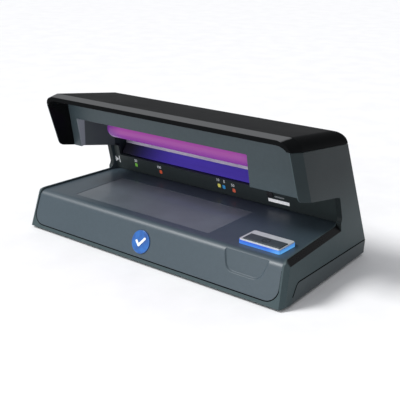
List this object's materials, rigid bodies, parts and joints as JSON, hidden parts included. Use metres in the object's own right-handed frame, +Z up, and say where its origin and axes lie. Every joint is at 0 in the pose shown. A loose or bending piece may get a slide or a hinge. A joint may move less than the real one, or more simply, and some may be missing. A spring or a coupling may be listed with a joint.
{
  "type": "counterfeit bill detector",
  "caption": "Desktop ultraviolet bill detector: low deck for the note, back column with a printed guide strip, and a hood with a twin-tube lamp; one push button.",
  "frame": {"origin": "centre of the overall box at the level of the feet's undersides", "axes": "+X to the user's right along the length, +Y to the back, +Z up; the front faces -Y"},
  "size_m": [0.205, 0.1021, 0.0889],
  "materials": {
    "slate_plastic": "fine moulded grain, slate grey",
    "deck_plastic": "fine moulded grain, slate grey",
    "bezel_plastic": "satin, slate grey",
    "black_gloss": "polished black",
    "button_black": "polished black",
    "guide_plastic": "satin, dark grey-green",
    "cove_plastic": "satin, under the lamp's violet light",
    "label_white": "printed film",
    "silver_trim": "satin metallised trim",
    "blue_acrylic": "translucent, lit from inside",
    "pale_print": "printed",
    "badge_blue": "moulded disc",
    "lamp_glow": "coated glass tube, lit violet",
    "opal_acrylic": "opal sheet, unlit",
    "circuit_board": "coated board",
    "led_white": "small lamps",
    "reflector_sheet": "bright rolled sheet",
    "lamp_cap": "moulded cap",
    "socket_white": "moulded holder",
    "brass_pins": "turned",
    "black_plastic": "moulded",
    "zinc_steel": "zinc plated",
    "foot_rubber": "moulded rubber",
    "wire_insulation": "smooth insulation",
    "choke_core": "ferrite and tape",
    "capacitor_sleeve": "sleeved can",
    "fuse_glass": "clear tube with end caps"
  },
  "bodies": {
    "housing": {"main_housing": "slate_plastic", "bottom_tray": "slate_plastic", "deck_panel": "deck_plastic", "lamp_bezel": "bezel_plastic", "top_cover": "black_gloss", "sensor_lens": "black_gloss", "guide_strip": "guide_plastic", "cove_plate": "cove_plastic", "strip_label": "label_white", "button_frame": "silver_trim", "button_light_ring": "blue_acrylic", "badge_mark": "pale_print", "badge_disc": "badge_blue", "uv_lamp": "lamp_glow", "backlight_diffuser": "opal_acrylic", "backlight_board": "circuit_board", "control_board": "circuit_board", "ballast_board": "circuit_board", "backlight_leds": "led_white", "reflector": "reflector_sheet", "lamp_base": "lamp_cap", "lamp_socket": "socket_white", "lamp_pins": "brass_pins", "dc_inlet": "black_plastic", "dc_inlet_pin": "brass_pins", "case_screws": "zinc_steel", "board_screws": "zinc_steel", "rubber_feet": "foot_rubber", "push_switch": "black_plastic", "switch_spring": "zinc_steel", "lamp_wires": "wire_insulation", "supply_wires": "wire_insulation", "ballast_choke": "choke_core", "filter_capacitor": "capacitor_sleeve", "ballast_transistors": "black_plastic", "fuse": "fuse_glass"},
    "button": {"power_button": "button_black", "button_icon": "pale_print", "switch_plunger": "black_plastic"}
  },
  "joints": [
    {"name": "button_press", "type": "slide", "parent": "housing", "child": "button", "axis": [0, 0.0316, -0.9995], "range_m": [0, 0.0012], "stiffness_N_per_m": 300, "springref_m": -0.002, "deforming": ["switch_spring"]}
  ]
}
